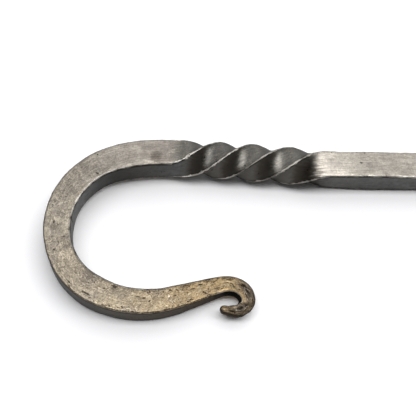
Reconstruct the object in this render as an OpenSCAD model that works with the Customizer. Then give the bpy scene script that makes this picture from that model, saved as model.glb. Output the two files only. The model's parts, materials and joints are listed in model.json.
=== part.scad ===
// Hand-forged S hook.
// One square bar with a left-hand twist in its shank. Each end is bent into an open hook,
// drawn down to a taper and curled back on itself, and the two hooks open opposite ways.
// +X runs along the shank towards the far hook and +Z points up. The hook lies as it comes to
// rest, on the edges of its twist and on the belly of the near hook. The origin is the middle
// of its outline, on the surface that it lies on.

/* [Bar] */
// Side of the square bar
bar = 8; // [7:0.25:9]
// Radius worn onto the edges of the bar
edge_r = 0.5; // [0.3:0.1:0.9]

/* [Shank] */
// Length of bar that holds the twist, between the middles of its two eased ends
twist_len = 42.5; // [34:0.5:60]
// Half turns in the twist
half_turns = 2; // [1:1:4]
// Length over which the twist sets in, and over which it dies out
twist_ease = 7; // [3:0.5:12]
// Amount by which the bar swells in the middle of the twist
swell = 0.7; // [0:0.1:1.5]
// Angle between the twisted stretch and the straight bar on each side of it
skew = 3.8; // [0:0.2:8]
// Angle by which the twist leaves the far hook out of line with the near one
wind = 4; // [3:0.5:6]
// Straight bar between the twist and the near bend
near_len = 0.5; // [0.5:0.5:40]
// Straight bar between the twist and the far bend
far_len = 64; // [56:1:120]

/* [Bend] */
// Radius of the easy stretch that leads from the shank into the bend
shoulder_r = 48; // [30:1:80]
// Angle of that stretch
shoulder_a = 16; // [10:1:25]
// Radius of the back of the bend, at the middle of the bar
crown_r = 22; // [18:0.5:28]
// Angle of the back of the bend
crown_a = 95; // [85:1:105]
// Radius of the heel, the tighter part that follows the back
heel_r = 19.8; // [16:0.2:26]
// Angle of the heel
heel_a = 40; // [30:1:50]
// Radius of the belly, the open part that leads to the arm
belly_r = 28.5; // [22:0.5:36]
// Angle of the belly
belly_a = 47; // [40:1:52]
// Straight arm between the belly and the curl
arm_len = 13.4; // [8:0.2:20]

/* [Curl] */
// Radius of the neck, where the arm starts to turn back
neck_r = 5.8; // [5:0.2:9]
// Angle of the neck
neck_a = 68; // [50:1:75]
// Radius of the curl, at the middle of the bar
curl_r = 2.9; // [2.8:0.1:4.5]
// Angle of the curl
curl_a = 145; // [120:1:155]
// Straight point beyond the curl
tip_len = 3.8; // [3:0.2:6]
// Angle by which the curl leans over outwards
curl_roll = 18; // [0:1:30]

/* [Taper] */
// Amount by which the end of the back is narrower than the bar
crown_thin = 0.5; // [0:0.1:1.5]
// Amount by which the end of the heel is narrower than the bar
heel_thin = 0.1; // [0:0.1:1.5]
// Width at the end of the belly, seen from above
belly_w = 6.6; // [5.5:0.1:7]
// Width at the end of the arm
arm_w = 4.8; // [4:0.1:5.4]
// Width at the end of the neck
neck_w = 4.5; // [3.8:0.1:5]
// Width in the middle of the curl
curl_w = 4; // [3.4:0.1:4.4]
// Width at the point
tip_w = 2.1; // [1.6:0.1:2.8]
// Thickness at the end of the belly
belly_t = 6.8; // [6:0.1:8]
// Thickness at the end of the arm
arm_t = 4; // [3.4:0.1:5.4]
// Thickness at the point
tip_t = 2.6; // [2:0.1:4]

/* [Hidden] */

// Most arc length between two rings of points, on the bar, the twist, the neck and the curl
bar_step = 1.9;
twist_step = 0.95;
neck_step = 1;
curl_step = 0.5;
// Points on each rounded edge of the section
edge_points = 4;
// Length over which one radius runs into the next
blend = 2.5;
// Length over which the point is rounded off, and the share of its section that is left at its end
nose = 1.2;
nose_share = 0.5;

function arc(r, a) = r * a * PI / 180;
function sum_to(v, i) = i < 0 ? 0 : v[i] + sum_to(v, i - 1);
function mean(v) = sum_to(v, len(v) - 1) / len(v);

// The bar from the middle of the twist out to one point: [name, length, turn, longest step]
half_twist = (twist_len - twist_ease) / 2;
function stretches(straight) = [
    ["twist", half_twist, 0, twist_step],
    ["ease", twist_ease, skew, twist_step],
    ["straight", straight, 0, bar_step],
    ["shoulder", arc(shoulder_r, shoulder_a), shoulder_a, bar_step],
    ["crown", arc(crown_r, crown_a), crown_a, bar_step],
    ["heel", arc(heel_r, heel_a), heel_a, bar_step],
    ["belly", arc(belly_r, belly_a), belly_a, bar_step],
    ["arm", arm_len, 0, bar_step],
    ["neck", arc(neck_r, neck_a), -neck_a, neck_step],
    ["curl", arc(curl_r, curl_a), -curl_a, curl_step],
    ["tip", tip_len, 0, curl_step]
];
// Distance from the middle of the twist to the end of each stretch, and of a named one
function ends(st) = [for (i = [0:len(st) - 1]) sum_to([for (s = st) s[1]], i)];
function end_of(st, name) = ends(st)[search([name], st)[0]];
// Direction of the bar against that distance, for lookup()
function turns(st) = let (e = ends(st), a = [for (s = st) s[2]])
    concat([[0, 0]], [for (i = [0:len(st) - 1]) [e[i], sum_to(a, i)]]);
function heading(table, d) = mean([for (k = [-2:2]) lookup(d + k * blend / 2, table)]);
// Distances of the rings of points
function rings(st) = let (e = ends(st)) [
    0,
    for (i = [0:len(st) - 1])
        let (n = ceil(st[i][1] / st[i][3]))
            for (k = [1:n]) e[i] - st[i][1] * (1 - k / n)
];
// Width, thickness and outward lean of the section, each against distance
function mid_curl(st) = (end_of(st, "neck") + end_of(st, "curl")) / 2;
function widths(st) = [
    [0, bar + swell],
    [end_of(st, "twist"), bar + swell / 2],
    [end_of(st, "ease"), bar],
    [end_of(st, "shoulder"), bar],
    [end_of(st, "crown"), bar - crown_thin],
    [end_of(st, "heel"), bar - heel_thin],
    [end_of(st, "belly"), belly_w],
    [end_of(st, "arm"), arm_w],
    [end_of(st, "neck"), neck_w],
    [mid_curl(st), curl_w],
    [end_of(st, "tip"), tip_w]
];
function thicknesses(st) = [
    [0, bar + swell],
    [end_of(st, "twist"), bar + swell / 2],
    [end_of(st, "ease"), bar],
    [end_of(st, "crown"), bar],
    [end_of(st, "belly"), belly_t],
    [end_of(st, "arm"), arm_t],
    [end_of(st, "tip"), tip_t]
];
function leans(st) = [
    [end_of(st, "arm") - arm_len / 2, 0],
    [end_of(st, "neck"), curl_roll * 0.6],
    [mid_curl(st), curl_roll],
    [end_of(st, "curl"), curl_roll * 0.8],
    [end_of(st, "tip"), curl_roll * 0.3]
];
// Share of the section that is left as the point rounds off
function nose_scale(st, d) = let (x = max(0, (d - end_of(st, "tip") + nose) / nose))
    nose_share + (1 - nose_share) * sqrt(1 - x * x);

// One half of the hook from the twist outwards, with the place, direction, distance, width,
// thickness and lean of each ring
function half(straight) = let (
    st = stretches(straight),
    table = turns(st),
    w = widths(st),
    t = thicknesses(st),
    lean = leans(st),
    d = rings(st),
    start = 180 - skew
) [
    for (
        i = 0, p = [0, 0];
        i < len(d);
        h = i + 1 < len(d) ? start + heading(table, (d[i] + d[i + 1]) / 2) : 0,
        p = i + 1 < len(d) ? p + (d[i + 1] - d[i]) * [cos(h), sin(h)] : p,
        i = i + 1
    ) let (n = nose_scale(st, d[i]))
        [p.x, p.y, start + heading(table, d[i]), d[i],
            lookup(d[i], w) * n, lookup(d[i], t) * n, lookup(d[i], lean)]
];

// Share of the twist that lies before a distance along the shank from its middle
function twist_share(u) = let (a = u + twist_len / 2, b = twist_len - a, h = twist_ease / 2)
    a <= -h ? 0
    : b <= -h ? 1
    : a < h ? pow(a + h, 2) / (4 * h * twist_len)
    : b < h ? 1 - pow(b + h, 2) / (4 * h * twist_len)
    : a / twist_len;

// Outline of a rounded rectangle, with one more point at the middle of each side
function section(w, t) = let (r = min(edge_r, min(w, t) / 3), n = edge_points - 1) [
    for (q = [0:3])
        let (
            sx = q == 0 || q == 3 ? 1 : -1,
            sy = q < 2 ? 1 : -1,
            side = [[0, t / 2], [-w / 2, 0], [0, -t / 2], [w / 2, 0]][q]
        )
            each concat(
                [for (k = [0:n]) let (a = 90 * q + 90 * k / n)
                    [sx * (w / 2 - r) + r * cos(a), sy * (t / 2 - r) + r * sin(a)]],
                [side]
            )
];
// The section turned by its twist and set across the bar, which runs in the given direction.
// The twist also winds everything beyond it about the shank.
function about_x(a) = [[1, 0, 0], [0, cos(a), -sin(a)], [0, sin(a), cos(a)]];
function about_y(a) = [[cos(a), 0, sin(a)], [0, 1, 0], [-sin(a), 0, cos(a)]];
function ring(x, y, direction, share, lean, w, t) = let (turned = lean - 180 * half_turns * share) [
    for (s = section(w, t))
        let (a = s.x * cos(turned) - s.y * sin(turned), b = s.x * sin(turned) + s.y * cos(turned))
            about_x(-wind * share) * [x - a * sin(direction), y + a * cos(direction), b]
];

near = half(near_len);
far = half(far_len);
hook_rings = concat(
    [for (i = [len(near) - 1:-1:1]) let (s = near[i])
        ring(s[0], s[1], s[2] + 180, twist_share(-s[3]), s[6], s[4], s[5])],
    [for (s = far)
        ring(-s[0], -s[1], s[2] + 180, twist_share(s[3]), s[6], s[4], s[5])]
);

// The lie of the hook. It rests on the lowest edge of its twist, tips until the far bend comes
// down, and rolls until the near belly comes down. A few rounds bring all three to one level.
function lowest(v) = let (low = min([for (p = v) p.z])) [for (p = v) if (p.z == low) p][0];
function settled(v, rounds) = rounds == 0 ? v : let (
    rest = lowest([for (p = v) if (abs(p.x) < twist_len / 2) p]),
    tipped = [for (p = v) p - rest],
    pitch = min([for (p = tipped) if (p.x > twist_len) atan2(p.z, p.x)]),
    rolled = [for (p = tipped) about_y(pitch) * p],
    roll = min([for (p = rolled) if (p.x < 0 && p.y < -2 * bar) atan2(p.z, -p.y)]),
    back = [rest.x, rest.y, 0]
) settled([for (p = rolled) about_x(roll) * p + back], rounds - 1);
lying = settled([for (r = hook_rings) each r], 8);

function middle(v) = (min(v) + max(v)) / 2;
origin = [
    middle([for (p = lying) p.x]),
    middle([for (p = lying) p.y]),
    min([for (p = lying) p.z])
];

module forged_hook() {
    per_ring = len(hook_rings[0]);
    count = len(hook_rings);
    points = [for (p = lying) p - origin];
    skin = [
        for (i = [0:count - 2])
            for (k = [0:per_ring - 1])
                let (a = i * per_ring + k, b = i * per_ring + (k + 1) % per_ring)
                    each [[a, b + per_ring, b], [a, a + per_ring, b + per_ring]]
    ];
    near_face = [for (k = [0:per_ring - 1]) k];
    far_face = [for (k = [per_ring - 1:-1:0]) (count - 1) * per_ring + k];
    color([0.47, 0.44, 0.40])
        polyhedron(points, concat(skin, [near_face, far_face]));
}

forged_hook();
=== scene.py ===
# Hand-forged S hook: the dressed bar, its steel, a pale table and soft light. Lengths are in metres.
import json
import math
from types import SimpleNamespace

import bmesh
import bpy
from mathutils import Matrix, Vector

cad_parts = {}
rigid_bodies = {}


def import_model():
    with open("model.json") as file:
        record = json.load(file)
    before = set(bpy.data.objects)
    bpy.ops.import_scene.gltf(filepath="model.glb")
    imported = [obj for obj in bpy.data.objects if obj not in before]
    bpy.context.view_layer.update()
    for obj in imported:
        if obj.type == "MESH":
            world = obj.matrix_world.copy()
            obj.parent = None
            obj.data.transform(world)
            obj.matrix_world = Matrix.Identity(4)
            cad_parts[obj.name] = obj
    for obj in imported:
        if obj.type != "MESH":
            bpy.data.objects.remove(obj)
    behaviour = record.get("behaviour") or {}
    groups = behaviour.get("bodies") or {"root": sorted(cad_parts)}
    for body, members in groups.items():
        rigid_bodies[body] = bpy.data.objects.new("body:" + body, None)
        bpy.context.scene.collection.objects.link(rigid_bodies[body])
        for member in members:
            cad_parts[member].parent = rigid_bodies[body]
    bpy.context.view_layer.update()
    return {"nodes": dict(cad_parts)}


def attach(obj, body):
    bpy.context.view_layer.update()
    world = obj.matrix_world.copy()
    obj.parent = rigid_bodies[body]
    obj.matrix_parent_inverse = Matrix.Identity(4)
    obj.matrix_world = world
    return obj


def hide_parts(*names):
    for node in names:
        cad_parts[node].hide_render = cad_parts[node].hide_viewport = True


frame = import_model()
for spare in [o for o in bpy.data.objects if o.name in ("Cube", "Light", "Camera")]:
    bpy.data.objects.remove(spare)
print("frame loaded")


def deselect():
    if bpy.context.mode != "OBJECT":
        bpy.ops.object.mode_set(mode="OBJECT")
    bpy.ops.object.select_all(action="DESELECT")


def pick(piece):
    deselect()
    piece.select_set(True)
    bpy.context.view_layer.objects.active = piece


def colour(red, green, blue):
    # a display colour of 0 to 255 as the linear colour that the sockets take
    parts = [c / 255 for c in (red, green, blue)]
    return tuple(p / 12.92 if p <= 0.04045 else ((p + 0.055) / 1.055) ** 2.4 for p in parts) + (1,)


def smoothStep(value, start, end):
    share = min(1, max(0, (value - start) / (end - start)))
    return share * share * (3 - 2 * share)


# camera
cameraSet = {
    "place": (-0.05482, -0.11748, 0.20413),
    "aim": (-0.04370, -0.01160, 0.0),
    "roll": 5.85,          # degrees, turned to the left about its own axis
    "lens": 67.5,
    "clip": (0.005, 20),
}


def setCamera():
    deselect()
    place = Vector(cameraSet["place"])
    ahead = (Vector(cameraSet["aim"]) - place).normalized()
    turn = ahead.to_track_quat("-Z", "Y") @ Matrix.Rotation(math.radians(cameraSet["roll"]), 3, "Z").to_quaternion()
    bpy.ops.object.camera_add(location=place, rotation=turn.to_euler())
    camera = bpy.context.object
    camera.name = "camera"
    camera.data.lens = cameraSet["lens"]
    camera.data.clip_start, camera.data.clip_end = cameraSet["clip"]
    bpy.context.scene.camera = camera
    print("camera set")


# the bar, from a merged copy of its CAD solid
barSet = {
    "merge": 0.00002,      # doubles closer than this are one point
    "pairing": 1.2,        # how strongly triangles pair up in rows
    "flatCuts": 3,         # cuts across each half of a flat
    "longEdge": 0.00132,   # edges along the bar that are longer get one cut
    "sliver": 1e-9,        # faces of less area than this are left over from the solid
    "sameWay": 0.99,       # cosine between faces that lie in one plane
    "endFaces": 6,         # an end face is a fan of more faces than this
    "plainPlace": 0.03,    # x of a ring of the plain shank
    "ringDepth": 0.0008,   # how far from that ring's first point its edges may be
    "flatEdge": 0.002,     # edges across a flat are longer than this
    "sharp": 20,           # degrees between faces at an arris
}


def roughBar():
    bar = bpy.data.objects.new("forgedBar", frame["nodes"]["forged_hook"].data.copy())
    bpy.context.scene.collection.objects.link(bar)
    pick(bar)
    bar.data.materials.clear()
    bpy.ops.object.mode_set(mode="EDIT")
    bpy.ops.mesh.select_all(action="SELECT")
    bpy.ops.mesh.remove_doubles(threshold=barSet["merge"])
    bpy.ops.mesh.customdata_custom_splitnormals_clear()
    # each end face is a fan about one point, so it is made a single face
    bpy.ops.mesh.select_all(action="DESELECT")
    mesh = bmesh.from_edit_mesh(bar.data)
    for side in (-1, 1):
        hub = max((v for v in mesh.verts if v.co.x * side > 0), key=lambda v: len(v.link_edges))
        for face in hub.link_faces:
            sliver = face.calc_area() < barSet["sliver"]
            level = sum(face.normal.dot(other.normal) > barSet["sameWay"] for other in hub.link_faces)
            face.select = sliver or level > barSet["endFaces"]
    bmesh.update_edit_mesh(bar.data)
    bpy.ops.mesh.dissolve_faces()
    bpy.ops.mesh.select_all(action="SELECT")
    bpy.ops.mesh.tris_convert_to_quads(
        face_threshold=math.pi, shape_threshold=math.pi, topology_influence=barSet["pairing"])
    # rows of faces across the flats, started from one ring of the plain shank
    bpy.ops.mesh.select_all(action="DESELECT")
    bpy.ops.mesh.select_mode(type="EDGE")
    mesh = bmesh.from_edit_mesh(bar.data)
    start = min(v.co.x for v in mesh.verts if v.co.x > barSet["plainPlace"])
    for edge in mesh.edges:
        onRing = all(abs(v.co.x - start) < barSet["ringDepth"] for v in edge.verts)
        if onRing and edge.calc_length() > barSet["flatEdge"]:
            edge.select = True
    bmesh.update_edit_mesh(bar.data)
    bpy.ops.mesh.loop_multi_select(ring=True)
    bpy.ops.mesh.subdivide(number_cuts=barSet["flatCuts"])
    bpy.ops.mesh.select_all(action="DESELECT")
    mesh = bmesh.from_edit_mesh(bar.data)
    for edge in mesh.edges:
        edge.select = edge.calc_length() > barSet["longEdge"]
    bmesh.update_edit_mesh(bar.data)
    bpy.ops.mesh.loop_multi_select(ring=True)
    bpy.ops.mesh.subdivide(number_cuts=1)
    # the lines that run along the four arrises
    bpy.ops.mesh.select_all(action="DESELECT")
    bpy.ops.mesh.edges_select_sharp(sharpness=math.radians(barSet["sharp"]))
    bpy.ops.object.mode_set(mode="OBJECT")
    onArris = [v.index for v in bar.data.vertices if v.select]
    bar.vertex_groups.new(name="arris").add(onArris, 1, "REPLACE")
    smooth = bar.modifiers.new("smooth", "SUBSURF")
    smooth.levels = smooth.render_levels = 1
    bpy.ops.object.modifier_apply(modifier="smooth")
    bpy.ops.object.shade_smooth()
    print("bar merged and subdivided:", len(bar.data.polygons), "faces")
    return bar


forgedBar = roughBar()


# each ring of points round the bar, from the point of one hook to the point of the other
def ringsOf(bar):
    mesh = bmesh.new()
    mesh.from_mesh(bar.data)
    mesh.verts.ensure_lookup_table()
    hub = max((v for v in mesh.verts if v.co.x < 0), key=lambda v: len(v.link_edges))
    seen = {hub}
    ring = [max((v for f in hub.link_faces for v in f.verts if v is not hub), key=lambda v: v.co.z)]
    rim = {v for f in hub.link_faces for v in f.verts} - {hub}
    while len(ring) < len(rim):
        ring.append(next(e.other_vert(ring[-1]) for e in ring[-1].link_edges
                         if e.other_vert(ring[-1]) in rim and e.other_vert(ring[-1]) not in ring))
    rings = [ring]
    while len(rings[-1]) == len(rim):
        seen.update(ring)
        ring = []
        for v in rings[-1]:
            ring += [e.other_vert(v) for e in v.link_edges if e.other_vert(v) not in seen][:1]
        if len(set(ring)) < len(rim):
            break
        rings.append(ring)
    indexes = [[v.index for v in ring] for ring in rings]
    mesh.free()
    return indexes


# how the real twist departs from an even one: metres along the bar from the near hook's point, and there
# the degrees of roll, the metres back and down, and the share of the bar's thickness
settleSet = {
    "roll": [(0.118, 0), (0.128, 3), (0.145, -5.5), (0.157, -2), (0.165, 7), (0.180, 2.5), (0.198, 4), (0.225, 0)],
    "back": [(0.116, 0), (0.135, 0.0005), (0.158, 0.0006), (0.174, 0.0003), (0.200, 0.0003), (0.228, 0)],
    "down": [(0.158, 0), (0.174, 0.0006), (0.200, 0.0006), (0.228, 0)],
    "girth": [(0.098, 1), (0.110, 1.05), (0.118, 1.05), (0.127, 0.95), (0.146, 0.95), (0.158, 0.98),
              (0.168, 1.06), (0.180, 1.075), (0.198, 1.075), (0.225, 1)],
}


def between(knots, value):
    # eased from knot to knot, and level beyond the ends
    for (a, low), (b, high) in zip(knots, knots[1:]):
        if value <= b:
            return low + (high - low) * smoothStep(value, a, b)
    return knots[-1][1]


def lengthsOf(bar, rings):
    centres = [sum((bar.data.vertices[i].co for i in ring), Vector()) / len(ring) for ring in rings]
    run = [0.0]
    for a, b in zip(centres, centres[1:]):
        run.append(run[-1] + (b - a).length)
    return centres, run


def settle(bar, rings):
    centres, run = lengthsOf(bar, rings)
    for place, (ring, here) in enumerate(zip(rings, run)):
        roll, back, down, girth = (between(settleSet[name], here) for name in ("roll", "back", "down", "girth"))
        if roll or back or down or girth != 1:
            axis = (centres[min(place + 1, len(rings) - 1)] - centres[place - 1]).normalized()
            turn = Matrix.Rotation(math.radians(roll), 3, axis)
            for i in ring:
                point = bar.data.vertices[i]
                point.co = centres[place] + turn @ (point.co - centres[place]) * girth + Vector((0, back, -down))
    bar.data.update()
    print("twist settled")


# how the bar's arrises, bends and twist are found
layoutSet = {
    "arrisWeight": 0.7,            # least weight of a point on an arris
    "arrisGap": 4,                 # points between two arrises at least
    "bendStep": 6,                 # rings to each side by which a bend is measured
    "bendUnit": 0.03,              # twice the radius of a bend that counts as 1
    "shortest": 0.0001,            # length that a bend's measure is divided by, at least
    "beyond": 0.07,                # the twist is at least this far from either point
    "offLevel": (0.25, 0.9),       # upward part of a flat's direction where the bar is in its twist
    "twistIn": (-0.003, 0.002),    # where the twist's looks come in, from its first turned ring
    "twistOut": (-0.001, 0.004),   # where they go out, from its last
}
# painted shade, painted dark reflection and painted highlight of the twist, by how far a face turns up, or to the front
twistSet = {
    "side": (0.66, 0.97),
    "bandUp": (0.10, 0.60),
    "bandTop": (0.80, 0.96),
    "bandFront": (0.1, -0.2),
    "paintedGleamUp": (0.84, 0.95),
    "paintedGleamFront": (0.05, -0.16),
}


def arrisLines(bar, ring):
    sharp = bar.vertex_groups["arris"]
    weight = [sharp.weight(i) if any(g.group == sharp.index for g in bar.data.vertices[i].groups) else 0 for i in ring]
    lines = []
    for k, one in enumerate(weight):
        highest = one > layoutSet["arrisWeight"] and one >= max(weight[k - 1], weight[(k + 1) % len(ring)])
        if highest and (not lines or k - lines[-1] > layoutSet["arrisGap"]):
            lines.append(k)
    return lines


def twistLooks(normal):
    # in the twist, by each face's direction: what faces sideways takes the darker wall look as painted shade, a band of
    # painted dark reflection lies where it turns up to the front, and what faces up and to the front gets a painted
    # highlight
    side = 1 - smoothStep(abs(normal.z), *twistSet["side"])
    band = smoothStep(normal.z, *twistSet["bandUp"]) * (1 - smoothStep(normal.z, *twistSet["bandTop"]))
    band = band * smoothStep(normal.y, *twistSet["bandFront"])
    gleam = smoothStep(normal.z, *twistSet["paintedGleamUp"]) * smoothStep(normal.y, *twistSet["paintedGleamFront"])
    return side, band, gleam


# where each point is: along the bar, round it, from the nearest arris and from the nearest hook's point
def layOut(bar):
    rings = ringsOf(bar)
    settle(bar, rings)
    at = [v.co.copy() for v in bar.data.vertices]
    plain = min(rings, key=lambda ring: abs(at[ring[0]].x - barSet["plainPlace"]))
    lines, count = arrisLines(bar, plain), len(plain)
    # every ring starts on the outer upper arris, so the flats are 0 top, 1 inside, 2 under and 3 outside
    which = rings.index(plain)
    rings = [ring[lines[-1]:] + ring[:lines[-1]] for ring in rings]
    lines = sorted((k - lines[-1]) % count for k in lines)
    middles = [(a + b) // 2 for a, b in zip(lines, lines[1:] + [count])]
    centres, run = lengthsOf(bar, rings)
    total = run[-1]
    up = [abs((at[rings[which][k]] - centres[which]).normalized().z) for k in middles]
    # the twist runs from the first to the last ring whose flats stand well off level
    low, high = layoutSet["offLevel"]
    turned = [here for ring, centre, here in zip(rings, centres, run)
              if min(here, total - here) > layoutSet["beyond"]
              and low < abs((at[ring[middles[0]]] - centre).normalized().z) < high]
    twistStart, twistEnd = min(turned), max(turned)
    step = layoutSet["bendStep"]
    points = {}
    for place, (ring, here) in enumerate(zip(rings, run)):
        before, after = max(0, place - step), min(len(rings) - 1, place + step)
        bend = Vector()
        if before < place < after:
            bend = (centres[after] - centres[place]).normalized() - (centres[place] - centres[before]).normalized()
        bend = bend / max(layoutSet["shortest"], run[after] - run[before]) * layoutSet["bendUnit"]
        twisted = (smoothStep(here, *(twistStart + part for part in layoutSet["twistIn"]))
                   * (1 - smoothStep(here, *(twistEnd + part for part in layoutSet["twistOut"]))))
        late = smoothStep(here, twistStart, twistEnd)
        around = [0.0]
        for a, b in zip(ring, ring[1:] + ring[:1]):
            around.append(around[-1] + (at[b] - at[a]).length)
        starts = [around[k] for k in lines] + [around[-1]]
        for k, i in enumerate(ring):
            flat = max(q for q in range(len(lines)) if lines[q] <= k)
            side, band, gleam = twistLooks(bar.data.vertices[i].normal)
            points[i] = {
                "along": here, "around": around[k], "girth": around[-1],
                "edge": min(abs(around[k] - start) for start in starts),
                "reach": min(here, total - here),
                # in the twist the wall share, band and gleam go by each face's direction: painted shade, painted dark
                # reflection and painted highlight
                "wall": (1.0 if up[flat] < 0.5 else 0.0) * (1 - twisted) + side * twisted,
                "inside": min(1, max(-1, (at[i] - centres[place]).normalized().dot(bend))),
                "twisted": twisted, "band": band * twisted, "gleam": gleam * late * twisted,
                "flat": flat, "across": (around[k] - starts[flat]) / (starts[flat + 1] - starts[flat]),
            }
    names = points[plain[0]].keys()
    print("bar laid out:", len(rings), "rings of", count, "arris lines", lines, "length", round(total, 4),
          "twist", round(twistStart, 4), round(twistEnd, 4))
    return {name: [points[i][name] if i in points else 0.0 for i in range(len(at))] for name in names}


barPlaces = layOut(forgedBar)
keptNames = ("edge", "reach", "wall", "inside", "twisted", "band", "gleam")     # what the steel reads on the mesh


def keep(piece, name, values):
    layer = piece.data.attributes.new(name=name, type="FLOAT", domain="POINT")
    layer.data.foreach_set("value", values)


def unwrap(bar):
    # a map of metres along the bar and metres round it, with its seam on the outer upper arris
    layer = bar.data.uv_layers.new(name="barMap")
    along, around, girth = (barPlaces[name] for name in ("along", "around", "girth"))
    for face in bar.data.polygons:
        atSeam = max(around[i] for i in face.vertices) > girth[face.vertices[0]] / 2
        for loop, i in zip(face.loop_indices, face.vertices):
            layer.data[loop].uv = (along[i], around[i] or (girth[i] if atSeam else 0))


unwrap(forgedBar)
for name in keptNames:
    keep(forgedBar, name, barPlaces[name])


# forging marks: hollows of the hammer, uneven arrises, and pits, deeper towards the points
marksSet = {
    "hammer": {"kind": "CLOUDS", "grain": 0.0065, "depth": 0.00022, "middle": 0.5, "group": None},
    "lumps": {"kind": "CLOUDS", "grain": 0.0026, "depth": 0.00075, "middle": 0.5, "group": "points"},
    "arrisWear": {"kind": "CLOUDS", "grain": 0.0016, "depth": 0.00016, "middle": 0.7, "group": "arris"},
    "pits": {"kind": "VORONOI", "grain": 0.0030, "depth": -0.00014, "middle": 0.0, "group": "pitted"},
}
# where they go: metres from an arris, and metres from the nearest point of a hook
groupSet = {
    "arris": 0.0005,
    "points": (0.004, 0.016),
    "pitted": (0.02, 0.06),
    "leastPitted": 0.25,      # what is left of the pits away from the points
    "pitRim": (0.02, 0.20),   # from a cell's middle to its pit's rim
}
flatWidth = 0.0078     # metres across a flat, between its arrises
# from full to nothing, in shares of a mark's own size
markFade = {"dent": (0.2, 1.0), "scratch": (0.2, 1.0), "smudge": (0.1, 1.2)}

# single dents of the near hook: metres along the bar from its point, share across the flat,
# length along the bar, width, and depth
dentSet = {
    "top": [
        (0.0020, 0.35, 0.0022, 0.0004, 0.00018), (0.0034, 0.66, 0.0018, 0.0004, 0.00016),
        (0.0122, 0.74, 0.0012, 0.0010, 0.00022), (0.0110, 0.64, 0.0010, 0.0008, 0.00018),
        (0.0128, 0.60, 0.0006, 0.0006, 0.00014), (0.0098, 0.42, 0.0010, 0.0005, 0.00014),
        (0.0104, 0.70, 0.0008, 0.0005, 0.00015), (0.0145, 0.34, 0.0007, 0.0006, 0.00018),
        (0.0155, 0.54, 0.0006, 0.0006, 0.00016), (0.0166, 0.58, 0.0007, 0.0005, 0.00016),
        (0.0127, 0.30, 0.0006, 0.0006, 0.00015), (0.0150, 0.44, 0.0005, 0.0005, 0.00014),
        (0.0056, 0.42, 0.0014, 0.0009, 0.00018), (0.0200, 0.32, 0.0006, 0.0004, 0.00011),
        (0.0221, 0.45, 0.0006, 0.0005, 0.00011), (0.0238, 0.78, 0.0013, 0.0005, 0.00020),
        (0.0262, 0.68, 0.0012, 0.0005, 0.00018), (0.0278, 0.90, 0.0012, 0.0004, 0.00016),
        (0.0280, 0.58, 0.0006, 0.0005, 0.00011), (0.0385, 0.50, 0.0006, 0.0005, 0.00013),
        (0.0399, 0.64, 0.0009, 0.0004, 0.00013), (0.0416, 0.68, 0.0010, 0.0004, 0.00014),
        (0.0488, 0.89, 0.0016, 0.0006, 0.00023), (0.0551, 0.25, 0.0026, 0.00036, 0.00016),
        (0.0600, 0.20, 0.0017, 0.00036, 0.00013), (0.0694, 0.32, 0.0007, 0.0007, 0.00020),
        (0.0726, 0.77, 0.0006, 0.0006, 0.00014), (0.0772, 0.41, 0.0009, 0.0004, 0.00011),
        (0.0972, 0.82, 0.0006, 0.0007, 0.00013), (0.1236, 0.94, 0.0007, 0.0003, 0.00015),
        (0.1258, 0.96, 0.0006, 0.0003, 0.00015), (0.1764, 0.46, 0.0006, 0.0005, 0.00012),
    ],
    "inside": [(0.0790, 0.30, 0.0006, 0.0040, 0.00012)],
    "under": [(0.1313, 0.23, 0.0006, 0.0004, 0.00022), (0.1328, 0.32, 0.0008, 0.0004, 0.00024)],
}


def weigh(bar, name, weights):
    if name in bar.vertex_groups:
        bar.vertex_groups.remove(bar.vertex_groups[name])
    group = bar.vertex_groups.new(name=name)
    steps = {}
    for i, weight in enumerate(weights):
        steps.setdefault(round(weight, 2), []).append(i)
    for weight, indexes in steps.items():
        if weight > 0:
            group.add(indexes, weight, "REPLACE")


# pale scratches of the near hook, each from one end to the other: metres along the bar and share across the flat
scratchSet = [
    (0.0004, 0.66, 0.0034, 0.52), (0.0012, 0.30, 0.0040, 0.30), (0.0040, 0.36, 0.0044, 0.66),
    (0.1045, 0.92, 0.1085, 0.94), (0.1120, 0.80, 0.1149, 0.97), (0.1146, 0.90, 0.1168, 0.97),
    (0.1193, 0.66, 0.1215, 0.44), (0.0331, 0.62, 0.0326, 0.30), (0.0930, 0.86, 0.0965, 0.80),
    (0.0815, 0.30, 0.0835, 0.62),
]
scratchWidth = 0.00030     # metres to each side of a scratch's middle

# grey smudges of the near hook: metres along the bar, share across the flat, reach, and strength
smudgeSet = [
    (0.0112, 0.66, 0.0034, 0.8), (0.0056, 0.42, 0.0024, 1.0), (0.0695, 0.80, 0.0022, 0.7),
    (0.0755, 0.50, 0.0030, 0.7), (0.0505, 0.62, 0.0040, 0.4), (0.0570, 0.82, 0.0038, 0.9),
    (0.0795, 0.55, 0.0036, 0.45), (0.1160, 0.72, 0.0028, 1.0), (0.1184, 0.82, 0.0018, 0.5),
    (0.0875, 0.50, 0.0040, 0.45), (0.0450, 0.80, 0.0035, 0.5), (0.0365, 0.86, 0.0030, 0.5),
    (0.0980, 0.80, 0.0034, 0.4), (0.1085, 0.58, 0.0038, 0.5), (0.1125, 0.62, 0.0028, 0.45),
]


def smudge(bar):
    # how strongly each point of the top flats is smudged or scratched
    shares, scratches = [0.0] * len(bar.data.vertices), [0.0] * len(bar.data.vertices)
    for i, (here, flat, across) in enumerate(zip(*(barPlaces[n] for n in ("along", "flat", "across")))):
        if flat == 0:
            spot = Vector((here, across * flatWidth))
            for start, share, size, strength in smudgeSet:
                away = math.hypot(here - start, (across - share) * flatWidth) / size
                shares[i] = max(shares[i], strength * (1 - smoothStep(away, *markFade["smudge"])))
            for start, share, end, endShare in scratchSet:
                first = Vector((start, share * flatWidth))
                run = Vector((end, endShare * flatWidth)) - first
                reached = min(1, max(0, (spot - first).dot(run) / run.length_squared))
                away = (spot - first - run * reached).length / scratchWidth
                scratches[i] = max(scratches[i], 1 - smoothStep(away, *markFade["scratch"]))
    keep(bar, "smudge", shares)
    keep(bar, "scratch", scratches)


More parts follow.
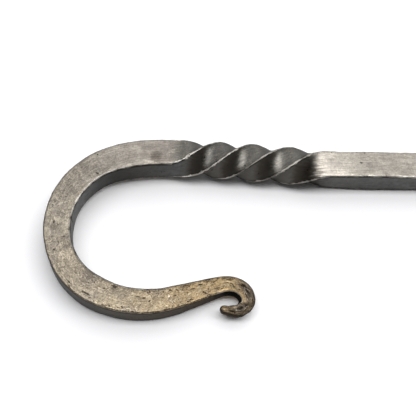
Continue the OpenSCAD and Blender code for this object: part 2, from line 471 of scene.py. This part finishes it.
def dent(bar):
    # how far each point lies in a dent, from 0 at its rim to 1 in its middle
    depths, shares = [0.0] * len(bar.data.vertices), [0.0] * len(bar.data.vertices)
    flatNames = {0: "top", 1: "inside", 2: "under"}
    for i, (here, flat, across) in enumerate(zip(*(barPlaces[n] for n in ("along", "flat", "across")))):
        for start, share, long, wide, deep in dentSet.get(flatNames.get(flat), ()):
            if abs(here - start) < long:
                away = math.hypot((here - start) / long, (across - share) * flatWidth / wide)
                hollow = 1 - smoothStep(away, *markFade["dent"])
                if hollow * deep > depths[i]:
                    depths[i], shares[i] = hollow * deep, hollow
    deepest = max(depths)
    weigh(bar, "dented", [d / deepest for d in depths])
    push = bar.modifiers.new("dents", "DISPLACE")
    push.direction, push.vertex_group, push.mid_level, push.strength = "NORMAL", "dented", 0.0, -deepest
    bpy.ops.object.modifier_apply(modifier="dents")
    keep(bar, "dent", shares)


def mark(bar):
    least = groupSet["leastPitted"]
    weigh(bar, "arris", [math.exp(-((e / groupSet["arris"]) ** 2)) for e in barPlaces["edge"]])
    weigh(bar, "points", [1 - smoothStep(r, *groupSet["points"]) for r in barPlaces["reach"]])
    weigh(bar, "pitted", [least + (1 - least) * (1 - smoothStep(r, *groupSet["pitted"])) for r in barPlaces["reach"]])
    for name, one in marksSet.items():
        pick(bar)
        texture = bpy.data.textures.new(name, one["kind"])
        texture.noise_scale = one["grain"]
        if one["kind"] == "VORONOI":
            texture.use_color_ramp = True
            shades = ((1, 1, 1, 1), (0, 0, 0, 1))
            for element, rim, shade in zip(texture.color_ramp.elements, groupSet["pitRim"], shades):
                element.position, element.color = rim, shade
        before = [v.co.copy() for v in bar.data.vertices]
        shift = bar.modifiers.new(name, "DISPLACE")
        shift.texture, shift.texture_coords, shift.direction = texture, "LOCAL", "NORMAL"
        shift.strength, shift.mid_level = one["depth"], one["middle"]
        if one["group"]:
            shift.vertex_group = one["group"]
        bpy.ops.object.modifier_apply(modifier=name)
        if name == "pits":
            keep(bar, "pit", [(v.co - b).length / abs(one["depth"]) for v, b in zip(bar.data.vertices, before)])
    pick(bar)
    dent(bar)
    smudge(bar)
    print("forging marks made")


mark(forgedBar)


# steel
steelSet = {
    "tones": [              # metres from the nearest point of a hook, and the colour of the flats there
        (0.000, colour(126, 109, 85)),
        (0.005, colour(114, 101, 84)),
        (0.010, colour(112, 99, 81)),
        (0.017, colour(172, 150, 114)),
        (0.026, colour(156, 136, 105)),
        (0.036, colour(147, 132, 109)),
        (0.048, colour(153, 141, 120)),
        (0.055, colour(146, 136, 120)),
        (0.061, colour(137, 128, 114)),
        (0.068, colour(147, 138, 123)),
        (0.079, colour(166, 158, 144)),
        (0.088, colour(144, 137, 126)),
        (0.104, colour(149, 143, 135)),
        (0.112, colour(170, 163, 153)),
        (0.1195, colour(168, 161, 152)),
        (0.1235, colour(112, 110, 105)),
        (0.150, colour(172, 166, 157)),
    ],
    "toneSpan": 0.16,       # metres that the ramp of tones spans
    "tints": {              # colours over the tones, each with how strongly it covers them
        "violet": (colour(124, 118, 116), 0.55),
        "smudge": (colour(104, 96, 87), 1),
        "scratch": (colour(206, 198, 184), 1),
        "twist": (colour(92, 91, 88), 0.9),
        "paleStroke": (colour(214, 202, 178), 1),
        "darkStroke": (colour(66, 50, 34), 1),
        "stain": (colour(66, 50, 34), 0.8),
        "rubbed": (colour(206, 178, 132), 1),
        # painted shade on the walls round the crown
        "crownWallShade": (colour(29, 30, 30), 0.72),
        "brownWall": (colour(66, 61, 54), 0.75),
        # painted shade on the sides of the twist
        "twistSideShade": (colour(84, 81, 76), 0.9),
        # painted dark reflection in the twist, and where it frays out
        "paintedDarkBand": (colour(44, 39, 33), 0.68),
        "paintedDarkBandEnd": (colour(44, 39, 33), 0.75),
        "shadowLine": (colour(29, 30, 30), 1),
        "brownSide": (colour(60, 52, 42), 0.8),
        # painted shade in the eye of the curl
        "curlEyeShade": (colour(18, 15, 12), 1),
        "rim": (colour(44, 38, 32), 1),
        "worn": (colour(232, 227, 218), 0.85),
        "pit": (colour(30, 24, 18), 0.8),
    },
    "walls": colour(81, 82, 82),
    "wallShare": 0.92,                     # how strongly the walls' look covers the flats' look
    "edgeTint": (0.58, 0.58, 0.58, 1),     # how bright the steel is where it is seen very flat
    "roughness": (0.30, 0.46),
    "lean": (0.003, 0.3),                  # metres added to a place's y, and metres along the bar for each metre of it
    "arrisWidth": (0.0005, 0.0007),        # worn width on the plain bar and in the twist
    "batteredWidth": 0.0002,               # more width on the first arris of the twist
    "relief": {"grains": 0.40, "lines": 0.25, "blotches": 0.5, "hollows": 0.8},
    "bump": {"Distance": 0.00004, "Strength": 0.9},
}
# metres from the nearest point of a hook: between two numbers a look comes in or goes out,
# and with four it comes in over the first two and goes out over the last two
reachSet = {
    "hook": (0.085, 0.112),
    "nearPoint": (0.022, 0.060),
    "scratched": (0.006, 0.030),
    "crownPaintedShine": (0.100, 0.108, 0.115, 0.120),
    # painted shade and light round the curl
    "curl": (0.009, 0.015),
    "rubbed": (0.006, 0.009, 0.020, 0.028),
    "crownWallShade": (0.086, 0.102, 0.108, 0.122),
    "brownWall": (0.040, 0.060),
    "litInnerWall": (0.066, 0.078, 0.088, 0.104),
    "outerWall": (0.050, 0.070),
    "brownSide": (0.023, 0.040),
    "curlEyeShade": (0.017, 0.022),
    "shankWear": (0.118, 0.125),
    "bellyWear": (0.076, 0.090),
    "crownWear": (0.095, 0.104),
    "twistWear": (0.114, 0.122),
    "armRim": (0.045, 0.070),
    "tipRim": (0.004, 0.008),
}
# the same in metres along the bar from the near hook's point
runSet = {
    "battered": (0.1195, 0.1215, 0.1265, 0.1295),     # the first arris of the twist
    "wholePaintedDarkBand": (0.1550, 0.1590),
    "paintedDarkBandEnd": (0.1560, 0.1600),
    "frayed": (0.1570, 0.1610),
    "grippedEnd": (0.1675, 0.1765),
    "paleWall": (0.174, 0.200),
}
# the same along the bar, but leaning as the end of the twist does
leanSet = {
    "frayed": (0.1620, 0.1690),
    "gripped": (0.1625, 0.1690),
    "paintedDarkBandEnd": (0.1650, 0.1700),
}
# metres from the nearest arris
edgeSet = {
    "stained": (0.0003, 0.0022),
    "rubbed": (0.0003, 0.0013),
    "shadowLine": (0.0002, 0.0010),
    "rim": (0.0001, 0.0006),
}
wearShadeHeight = (0.0015, 0.0045)     # metres up from the table
# the twist's painted dark reflection fades out to the back over these
paintedDarkBandBack = (-0.0030, 0.0004)     # metres to the back from the bar's middle
noiseSpread = (0.32, 0.68)        # the part of a noise that is drawn out to the whole
whole = (0.0, 1.0)


def addNode(tree, kind, inputs=(), **settings):
    node = tree.nodes.new(kind)
    for name, value in settings.items():
        setattr(node, name, value)
    for name, value in dict(inputs).items():
        if isinstance(value, bpy.types.NodeSocket):
            tree.links.new(value, node.inputs[name])
        else:
            node.inputs[name].default_value = value
    return node


def placed(tree, group, **inputs):
    return addNode(tree, "ShaderNodeGroup", inputs, node_tree=group)


def treeOf(values):
    return next(value.id_data for value in values if isinstance(value, bpy.types.NodeSocket))


def maths(operation, *values):
    # values or sockets, taken in turn
    result = values[0]
    for value in values[1:]:
        result = addNode(treeOf(values), "ShaderNodeMath", {0: result, 1: value}, operation=operation).outputs[0]
    return result


def vectors(operation, inputs):
    return addNode(treeOf(inputs.values()), "ShaderNodeVectorMath", inputs, operation=operation).outputs[0]


def plus(*values):
    return maths("ADD", *values)


def less(*values):
    return maths("SUBTRACT", *values)


def times(*values):
    return maths("MULTIPLY", *values)


def most(*values):
    return maths("MAXIMUM", *values)


def spread(value, window, low=0.0, high=1.0):
    # low up to the window's first number, high from its last, and even between
    start, end = window
    return addNode(value.id_data, "ShaderNodeMapRange", {
        "Value": value, "From Min": start, "From Max": end, "To Min": low, "To Max": high}).outputs["Result"]


def rise(value, window):
    return spread(value, window)


def fall(value, window):
    return spread(value, window, 1.0, 0.0)


def within(value, window):
    # comes in over the window's first two numbers and goes out over its last two
    return times(rise(value, window[:2]), fall(value, window[2:]))


def sway(noise, amount):
    # a noise of 0 to 1 as half the amount down to half the amount up
    return times(less(noise, 0.5), amount)


def mixed(share, a, b, blend="MIX"):
    inputs = {0: share, 6: a, 7: b}
    return addNode(treeOf(inputs.values()), "ShaderNodeMix", inputs, data_type="RGBA", blend_type=blend).outputs[2]


def dimmed(base, value):
    grey = addNode(value.id_data, "ShaderNodeCombineColor", {"Red": value, "Green": value, "Blue": value}).outputs[0]
    return mixed(1.0, base, grey, "MULTIPLY")


def tinted(base, name, *masks):
    tint, strength = steelSet["tints"][name]
    return mixed(times(*masks) if strength == 1 else times(*masks, strength), base, tint)


def newGroup(name, inputs, outputs):
    group = bpy.data.node_groups.new(name, "ShaderNodeTree")
    for socket, kind, value in inputs:
        made = group.interface.new_socket(name=socket, in_out="INPUT", socket_type=kind)
        if value is not None:
            made.default_value = value
    for socket, kind in outputs:
        group.interface.new_socket(name=socket, in_out="OUTPUT", socket_type=kind)
    return group, group.nodes.new("NodeGroupInput").outputs, group.nodes.new("NodeGroupOutput").inputs


def pittingGroup():
    # round pits of mixed sizes, most cells left without one
    group, given, made = newGroup(
        "pitting",
        [("Vector", "NodeSocketVector", None), ("Scale", "NodeSocketFloat", 1200.0),
         ("Amount", "NodeSocketFloat", 0.5)],
        [("Mask", "NodeSocketFloat")])
    wobble = addNode(group, "ShaderNodeTexNoise", {"Vector": given["Vector"], "Scale": 2500.0, "Detail": 2.0})
    shift = vectors("SUBTRACT", {0: wobble.outputs["Color"], 1: (0.5, 0.5, 0.5)})
    moved = vectors("ADD", {0: given["Vector"], 1: vectors("SCALE", {0: shift, "Scale": 0.0005})})
    cells = addNode(group, "ShaderNodeTexVoronoi", {"Vector": moved, "Scale": given["Scale"]})
    parts = addNode(group, "ShaderNodeSeparateColor", {"Color": cells.outputs["Color"]})
    chosen = maths("LESS_THAN", parts.outputs["Red"], given["Amount"])
    depth = less(spread(parts.outputs["Green"], whole, 0.12, 0.36), cells.outputs["Distance"])
    group.links.new(times(rise(depth, (0.0, 0.10)), chosen), made["Mask"])
    return group


def mottleGroup():
    # cloudy patches, blotches in them, and fine grain
    group, given, made = newGroup(
        "mottle",
        [("Vector", "NodeSocketVector", None), ("Cloud", "NodeSocketFloat", 130.0),
         ("Blotch", "NodeSocketFloat", 620.0), ("Grain", "NodeSocketFloat", 2200.0)],
        [("Clouds", "NodeSocketFloat"), ("Blotches", "NodeSocketFloat"), ("Grains", "NodeSocketFloat")])
    for inlet, outlet, detail, rough, twirl in (
            ("Cloud", "Clouds", 3.0, 0.55, 0.3),
            ("Blotch", "Blotches", 3.0, 0.65, 0.6),
            ("Grain", "Grains", 2.0, 0.6, 0.0)):
        noise = addNode(group, "ShaderNodeTexNoise", {
            "Vector": given["Vector"], "Scale": given[inlet],
            "Detail": detail, "Roughness": rough, "Distortion": twirl})
        group.links.new(rise(noise.outputs["Fac"], noiseSpread), made[outlet])
    return group


def stainGroup():
    # ragged brown stains and specks, more of them where the amount is high
    group, given, made = newGroup(
        "stains",
        [("Vector", "NodeSocketVector", None), ("Scale", "NodeSocketFloat", 900.0), ("Amount", "NodeSocketFloat", 0.5)],
        [("Mask", "NodeSocketFloat"), ("Dark Strokes", "NodeSocketFloat"), ("Pale Strokes", "NodeSocketFloat")])
    noise = addNode(group, "ShaderNodeTexNoise", {
        "Vector": given["Vector"], "Scale": given["Scale"], "Detail": 5.0, "Roughness": 0.72, "Distortion": 0.8})
    above = less(noise.outputs["Fac"], spread(given["Amount"], whole, 0.70, 0.47))
    group.links.new(rise(above, (0.0, 0.06)), made["Mask"])
    # short curved strokes, where a second noise passes a level
    curls = addNode(group, "ShaderNodeTexNoise", {
        "Vector": given["Vector"], "Scale": given["Scale"], "Detail": 2.0, "Roughness": 0.5, "Distortion": 1.2})
    for level, width, outlet in ((0.49, 0.035, "Dark Strokes"), (0.58, 0.030, "Pale Strokes")):
        away = maths("ABSOLUTE", less(curls.outputs["Fac"], level), 0.0)
        group.links.new(fall(away, (0.0, width)), made[outlet])
    return group


def brushGroup():
    # fine lines that run along the bar
    group, given, made = newGroup(
        "brushing",
        [("Vector", "NodeSocketVector", None), ("Length", "NodeSocketFloat", 160.0),
         ("Width", "NodeSocketFloat", 3200.0)],
        [("Lines", "NodeSocketFloat")])
    parts = addNode(group, "ShaderNodeSeparateXYZ", {"Vector": given["Vector"]})
    place = addNode(group, "ShaderNodeCombineXYZ", {
        "X": times(parts.outputs["X"], given["Length"]), "Y": times(parts.outputs["Y"], given["Width"])})
    lines = addNode(group, "ShaderNodeTexNoise", {
        "Vector": place.outputs[0], "Scale": 1.0, "Detail": 3.0, "Roughness": 0.6})
    group.links.new(rise(lines.outputs["Fac"], noiseSpread), made["Lines"])
    return group


def wearGroup():
    # worn arrises of uneven width
    group, given, made = newGroup(
        "arrisWear",
        [("Vector", "NodeSocketVector", None), ("Edge", "NodeSocketFloat", 0.0), ("Width", "NodeSocketFloat", 0.0005)],
        [("Mask", "NodeSocketFloat")])
    noise = addNode(group, "ShaderNodeTexNoise", {
        "Vector": given["Vector"], "Scale": 520.0, "Detail": 3.0, "Roughness": 0.6})
    width = times(given["Width"], spread(noise.outputs["Fac"], (0.35, 0.65), 0.1, 1.0))
    group.links.new(fall(maths("DIVIDE", given["Edge"], width), (0.6, 1.1)), made["Mask"])
    return group


def steelFields(tree):
    # what the looks go by: the bar's places and marks, noise over them, and areas made from these
    place = addNode(tree, "ShaderNodeTexCoord").outputs["Object"]
    along = addNode(tree, "ShaderNodeUVMap", uv_map="barMap").outputs["UV"]
    on = SimpleNamespace(tree=tree, place=place, along=along)
    for name in (*keptNames, "pit", "dent", "smudge", "scratch"):
        setattr(on, name, addNode(tree, "ShaderNodeAttribute", attribute_name=name).outputs["Fac"])
    mottle = placed(tree, mottleGroup(), Vector=place)
    on.clouds, on.blotches, on.grains = (mottle.outputs[name] for name in ("Clouds", "Blotches", "Grains"))
    brushed = brushGroup()
    on.lines = placed(tree, brushed, Vector=along).outputs["Lines"]
    # lines straight along the shank, also over the twist
    on.level = placed(tree, brushed, Vector=place, Length=260.0, Width=2400.0).outputs["Lines"]
    parts = addNode(tree, "ShaderNodeSeparateXYZ", {"Vector": place})
    on.sideways, on.height = parts.outputs["Y"], parts.outputs["Z"]
    on.run = addNode(tree, "ShaderNodeSeparateXYZ", {"Vector": along}).outputs["X"]
    back, lean = steelSet["lean"]
    on.leaning = plus(on.run, times(plus(on.sideways, back), lean))
    on.battered = within(on.run, runSet["battered"])
    on.gripped = times(rise(on.leaning, leanSet["gripped"]), fall(on.run, runSet["grippedEnd"]))     # painted highlight: the shank lighter just after the twist
    on.hooked = fall(on.reach, reachSet["hook"])     # 1 on a hook, 0 on the shank
    on.nearPoint = fall(on.reach, reachSet["nearPoint"])
    on.patchy = most(times(rise(on.clouds, (0.60, 0.95)), 0.6), times(on.smudge, spread(on.blotches, whole, 0.5, 1.1)))
    return on


def flatLook(on):
    # the tones of the flats, with patches, smudges and scratches, then grain and brushing, and painted highlights on
    # the crown and the twist
    tone = addNode(on.tree, "ShaderNodeValToRGB", {"Fac": rise(on.reach, (0.0, steelSet["toneSpan"]))})
    elements = tone.color_ramp.elements
    while len(elements) < len(steelSet["tones"]):
        elements.new(0.5)
    for element, (reached, shade) in zip(elements, steelSet["tones"]):
        element.position, element.color = reached / steelSet["toneSpan"], shade
    base = tinted(tone.outputs["Color"], "violet", on.patchy)
    base = tinted(base, "smudge", rise(on.smudge, (0.3, 1.0)), spread(on.blotches, (0.1, 0.8), 0.45, 0.95))
    base = tinted(base, "scratch", on.scratch, spread(on.grains, (0.1, 0.7), 0.2, 0.6),
                  spread(on.reach, reachSet["scratched"], 0.5, 1.0))
    base = tinted(base, "twist", on.twisted)
    even = less(1.0, times(on.hooked, 0.6))     # the shank is evener than the hooks
    base = dimmed(base, times(
        plus(sway(on.grains, less(0.68, times(even, 0.33))), 1.0),
        plus(sway(on.lines, plus(0.36, times(even, 0.12))), 1.0),
        plus(sway(on.blotches, spread(on.hooked, whole, 0.20, 0.38)), 1.0),
        spread(on.clouds, (0.2, 0.9), 1.06, 0.90),
        spread(on.smudge, whole, 1.0, 0.85),
        spread(on.gripped, whole, 1.0, 1.5)))
    # painted highlight: the outer part of the crown lighter and its inner part a little darker, with the twist's
    # painted gleam
    paintedShine = times(within(on.reach, reachSet["crownPaintedShine"]), spread(on.inside, (-0.8, 0.4), 0.36, -0.12))
    return dimmed(base, plus(most(paintedShine, times(on.gleam, 0.62)), 1.0))


def stainLook(base, on):
    # stains and strokes, most of them at the arrises and near the points
    amount = plus(times(fall(on.edge, edgeSet["stained"]), 0.5), times(on.nearPoint, 0.4))
    drawnOut = vectors("MULTIPLY", {0: on.along, 1: (0.6, 1.0, 1.0)})
    stained = placed(on.tree, stainGroup(), Vector=drawnOut, Amount=times(on.hooked, spread(amount, whole, 0.12, 1.0)))
    stains, strokes = stained.outputs["Mask"], spread(on.hooked, whole, 0.18, 0.50)
    base = tinted(base, "paleStroke", stained.outputs["Pale Strokes"], strokes)
    base = tinted(base, "darkStroke", stained.outputs["Dark Strokes"], strokes)
    return tinted(base, "stain", stains), stains


def curlLook(base, on):
    # painted shade and light round the curl: its outer part darker and its inner part lighter; its inner arrises are
    # rubbed brighter
    curl = times(fall(on.reach, reachSet["curl"]), spread(on.inside, (-0.7, 0.6), 0.72, 1.30))
    base = dimmed(base, plus(curl, rise(on.reach, reachSet["curl"])))
    return tinted(base, "rubbed", fall(on.edge, edgeSet["rubbed"]), rise(on.inside, (0.2, 0.6)),
                  within(on.reach, reachSet["rubbed"]), spread(on.blotches, (0.1, 0.7), 0.25, 0.6))


def wallLook(on):
    # the upright faces and the sides of the twist, with painted shade on the twist's sides and round the crown, and
    # painted light on the inner walls of the bends
    uneven = times(spread(on.blotches, whole, 0.66, 1.34), spread(on.lines, whole, 0.80, 1.20))
    # painted shade: the walls round the crown darker
    side = tinted(dimmed(steelSet["walls"], uneven), "crownWallShade", within(on.reach, reachSet["crownWallShade"]))
    side = tinted(side, "brownWall", fall(on.reach, reachSet["brownWall"]))
    inner = rise(on.inside, (0.0, 0.2))
    # painted light: the inner walls between the belly and the crown lighter
    litInnerWall = times(inner, within(on.reach, reachSet["litInnerWall"]), 0.8)
    outerWall = times(less(1.0, inner), spread(on.reach, reachSet["outerWall"], 0.22, 0.0))
    side = dimmed(side, plus(litInnerWall, outerWall, spread(on.run, runSet["paleWall"], 1.0, 1.22)))
    # painted shade: the sides of the twist darker
    return tinted(side, "twistSideShade", on.twisted)


def paintedDarkBandLook(base, on):
    # painted dark reflection on the faces of the twist that turn up to the front, broken up by lines along the shank
    paintedDarkBand = plus(on.band, sway(on.level, 0.5))
    lower = most(spread(on.sideways, paintedDarkBandBack, 1.0, 0.2), fall(on.run, runSet["wholePaintedDarkBand"]))
    base = tinted(base, "paintedDarkBand", rise(paintedDarkBand, (0.15, 0.90)), rise(on.band, (0.0, 0.25)), lower)
    # the painted dark reflection frays out where the twist ends
    frayed = times(rise(on.run, runSet["frayed"]), fall(on.leaning, leanSet["frayed"]))
    frayed = times(rise(plus(frayed, sway(on.level, 0.8)), (0.40, 1.0)), lower)
    return tinted(base, "paintedDarkBandEnd", frayed, rise(on.run, runSet["paintedDarkBandEnd"]), fall(on.leaning, leanSet["paintedDarkBandEnd"]))


def shadeLook(base, on):
    # painted shadow lines along the walls' arrises, brown walls near the points, and painted shade on the wall in the
    # eye of the curl
    base = tinted(base, "shadowLine", on.wall, spread(on.edge, edgeSet["shadowLine"], 0.8, 0.0))
    base = tinted(base, "brownSide", on.wall, fall(on.reach, reachSet["brownSide"]))
    return tinted(base, "curlEyeShade", on.wall, fall(on.reach, reachSet["curlEyeShade"]), rise(on.inside, (0.05, 0.3)))


def arrisLook(base, on):
    # arrises: worn bright inside the bends and along the shank, dark on the outside
    gain = most(rise(on.inside, (0.05, 0.30)), spread(on.reach, reachSet["shankWear"], 0.15, 0.6))
    gain = times(gain, spread(on.clouds, (0.2, 0.8), 0.35, 1.0), spread(on.reach, reachSet["bellyWear"], 0.30, 1.0),
                 most(spread(on.reach, reachSet["crownWear"], 1.0, 0.5), rise(on.reach, reachSet["twistWear"])))
    gain = most(gain, times(on.battered, spread(on.grains, (0.2, 0.7), 0.5, 1.0)))
    # painted shade: the worn arrises dimmer near the table
    gain = times(gain, spread(on.height, wearShadeHeight, 0.45, 1.0))
    dark = most(spread(on.reach, reachSet["armRim"], 0.35, 1.0), fall(on.reach, reachSet["tipRim"]))
    base = tinted(base, "rim", spread(on.edge, edgeSet["rim"], 0.85, 0.0), dark, less(1.0, gain))
    width = plus(spread(on.twisted, whole, *steelSet["arrisWidth"]), times(on.battered, steelSet["batteredWidth"]))
    worn = times(placed(on.tree, wearGroup(), Vector=on.place, Edge=on.edge, Width=width).outputs["Mask"], gain)
    return tinted(base, "worn", worn), worn


def hollowLook(base, on):
    # pits and the ragged dark in dents
    amount = spread(plus(on.nearPoint, on.patchy), (0.0, 2.0), 0.05, 0.6)
    pits = placed(on.tree, pittingGroup(), Vector=on.place, Amount=amount).outputs["Mask"]
    ragged = plus(on.dent, sway(on.grains, 0.35), sway(on.blotches, 0.5))
    dents = times(rise(ragged, (0.30, 0.65)), rise(on.dent, (0.02, 0.2)))
    hollow = most(pits, rise(on.pit, (0.25, 0.8)), dents)
    return tinted(base, "pit", hollow), pits, hollow


def steelMaterial():
    steel = bpy.data.materials.new("forgedSteel")
    steel.use_nodes = True
    tree = steel.node_tree
    shader = tree.nodes["Principled BSDF"]
    shader.inputs["Metallic"].default_value = 1
    shader.inputs["Specular Tint"].default_value = steelSet["edgeTint"]
    on = steelFields(tree)
    base, stains = stainLook(flatLook(on), on)
    base = mixed(times(on.wall, steelSet["wallShare"]), curlLook(base, on), wallLook(on))
    base, worn = arrisLook(shadeLook(paintedDarkBandLook(base, on), on), on)
    base, pits, hollow = hollowLook(base, on)
    tree.links.new(base, shader.inputs["Base Color"])

    finish = spread(on.blotches, whole, *steelSet["roughness"])
    finish = plus(finish, times(most(hollow, stains, on.wall), 0.15))
    tree.links.new(less(finish, times(worn, 0.08), times(on.twisted, 0.02)), shader.inputs["Roughness"])

    relief = steelSet["relief"]
    raised = plus(*(times(getattr(on, name), relief[name]) for name in ("grains", "lines", "blotches")))
    raised = less(raised, times(most(pits, stains), relief["hollows"]))
    bump = addNode(tree, "ShaderNodeBump", {"Height": raised, **steelSet["bump"]})
    tree.links.new(bump.outputs["Normal"], shader.inputs["Normal"])
    print("steel made")
    return steel


forgedBar.data.materials.append(steelMaterial())
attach(forgedBar, "root")
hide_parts("forged_hook")
print("bar finished")


# table, lamps and room
tableSet = {
    "size": 16,
    "under": 0.00003,          # how far it lies below the height at which the hook rests
    "colour": (0.97, 0.97, 0.985, 1),
    "clear": (0.30, 0.70),     # metres from the hook over which the paper turns plain white
}


def seenRays(tree):
    # 1 for what the camera sees, straight or in a reflection
    path = addNode(tree, "ShaderNodeLightPath")
    return most(*(path.outputs[name] for name in ("Is Camera Ray", "Is Glossy Ray", "Is Transmission Ray")))


def setTable():
    deselect()
    bpy.ops.mesh.primitive_plane_add(size=tableSet["size"], location=(0, 0, -tableSet["under"]))
    table = bpy.context.object
    table.name = "paleTable"
    paper = bpy.data.materials.new("palePaper")
    paper.use_nodes = True
    tree = paper.node_tree
    tree.nodes.remove(tree.nodes["Principled BSDF"])
    place = addNode(tree, "ShaderNodeTexCoord").outputs["Object"]
    away = addNode(tree, "ShaderNodeVectorMath", {0: place}, operation="LENGTH").outputs["Value"]
    share = times(seenRays(tree), rise(away, tableSet["clear"]))
    plain = addNode(tree, "ShaderNodeBsdfDiffuse", {"Color": tableSet["colour"]})
    white = addNode(tree, "ShaderNodeEmission", {"Color": (1, 1, 1, 1), "Strength": 1.0})
    both = addNode(tree, "ShaderNodeMixShader", {0: share, 1: plain.outputs[0], 2: white.outputs[0]})
    tree.links.new(both.outputs[0], tree.nodes["Material Output"].inputs["Surface"])
    table.data.materials.append(paper)


lampSet = {
    "overhead": {"place": (0.12, -0.03, 1.0), "aim": (0.12, -0.03, 0.0), "size": (2.2, 0.36), "power": 10.4},
    "slanting": {"place": (0.12, 0.56, 0.86), "aim": (0.12, 0.0, 0.0), "size": (2.2, 0.60), "power": 3.3},
    "behind": {"place": (0.12, 1.3, 0.6), "aim": (0.12, 0.0, 0.0), "size": (2.4, 1.2), "power": 6.2},
}


def setLamps():
    for name, lamp in lampSet.items():
        deselect()
        bpy.ops.object.light_add(type="AREA", location=lamp["place"])
        light = bpy.context.object
        light.name = name + "Lamp"
        light.rotation_euler = (Vector(lamp["aim"]) - Vector(lamp["place"])).to_track_quat("-Z", "Y").to_euler()
        light.data.shape = "RECTANGLE"
        light.data.size, light.data.size_y = lamp["size"]
        light.data.energy = lamp["power"]
        light.visible_camera = False


roomSet = {
    "dim": 0.07,            # what the steel reflects above the pale surroundings
    "white": 1.0,
    "low": (0.24, 0.42),    # white up to the first height, as the sine of its angle
    "sky": 0.86,            # what the paper gets from above and behind, so that its shadows are soft
    "from": (0.3, 0.30, 1.0),
    "spread": (0.66, 0.98),
}


def setRoom():
    room = bpy.data.worlds.new("room")
    bpy.context.scene.world = room
    room.use_nodes = True
    room.cycles.sampling_method = "NONE"
    tree = room.node_tree
    towards = addNode(tree, "ShaderNodeTexCoord").outputs["Generated"]
    height = addNode(tree, "ShaderNodeSeparateXYZ", {"Vector": towards}).outputs["Z"]
    seen = seenRays(tree)
    low = spread(height, roomSet["low"], roomSet["white"], roomSet["dim"])
    side = addNode(tree, "ShaderNodeVectorMath", {0: towards, 1: roomSet["from"]}, operation="DOT_PRODUCT")
    soft = spread(side.outputs["Value"], roomSet["spread"], 0.0, roomSet["sky"])
    back = tree.nodes["Background"]
    back.inputs["Color"].default_value = (1, 1, 1, 1)
    tree.links.new(plus(times(seen, low), times(less(1.0, seen), soft)), back.inputs["Strength"])
    bpy.context.scene.view_settings.view_transform = "Standard"


setTable()
setLamps()
setRoom()
setCamera()
print("stage set")
